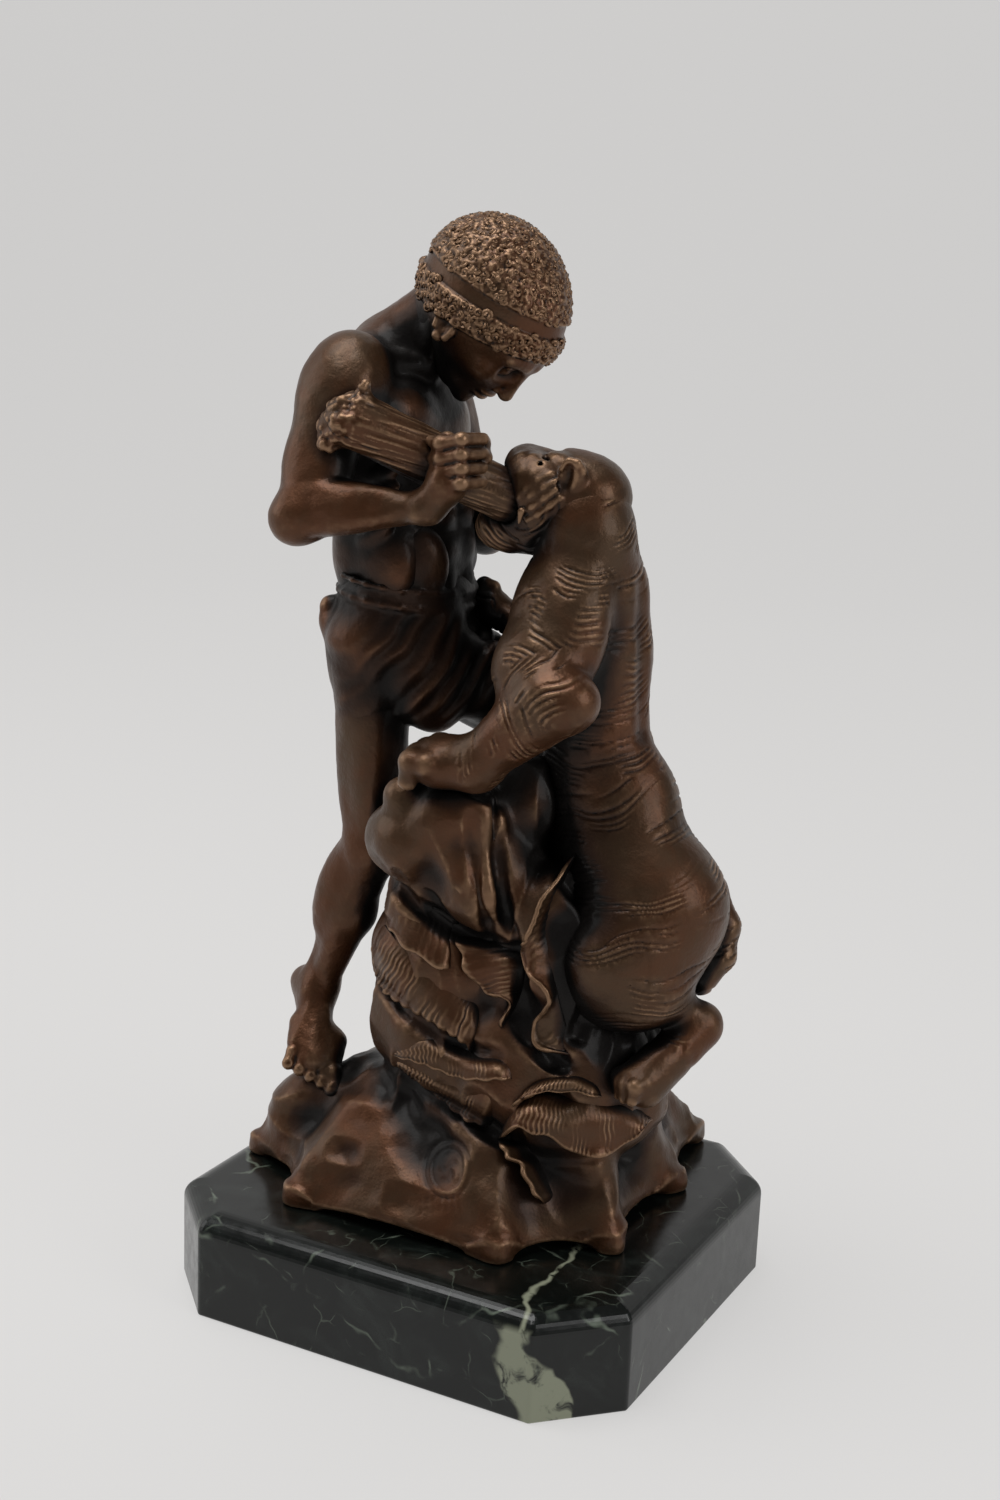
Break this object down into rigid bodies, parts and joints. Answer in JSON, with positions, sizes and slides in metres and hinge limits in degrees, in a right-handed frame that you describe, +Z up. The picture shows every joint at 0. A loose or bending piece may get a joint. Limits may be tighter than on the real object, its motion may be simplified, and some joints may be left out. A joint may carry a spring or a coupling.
{
  "type": "bronze figure group",
  "caption": "Cast bronze group of a youth driving a club into the jaws of a rearing tiger on a leafy rock, on a marble plinth with cut corners.",
  "frame": {"origin": "centre of the marble plinth's underside", "axes": "+Z up, +X along the plinth's long side from the youth towards the tiger, -Y towards the side that shows the tiger's left flank and the youth's right arm"},
  "size_m": [0.1643, 0.15, 0.3501],
  "materials": {
    "bronze": "cast bronze with a warm brown patina, semi-gloss, lighter on the high spots",
    "marble": "polished green-black marble with fine pale veins"
  },
  "bodies": {
    "root": {"bronze_group": "bronze", "marble_plinth": "marble"}
  },
  "joints": []
}
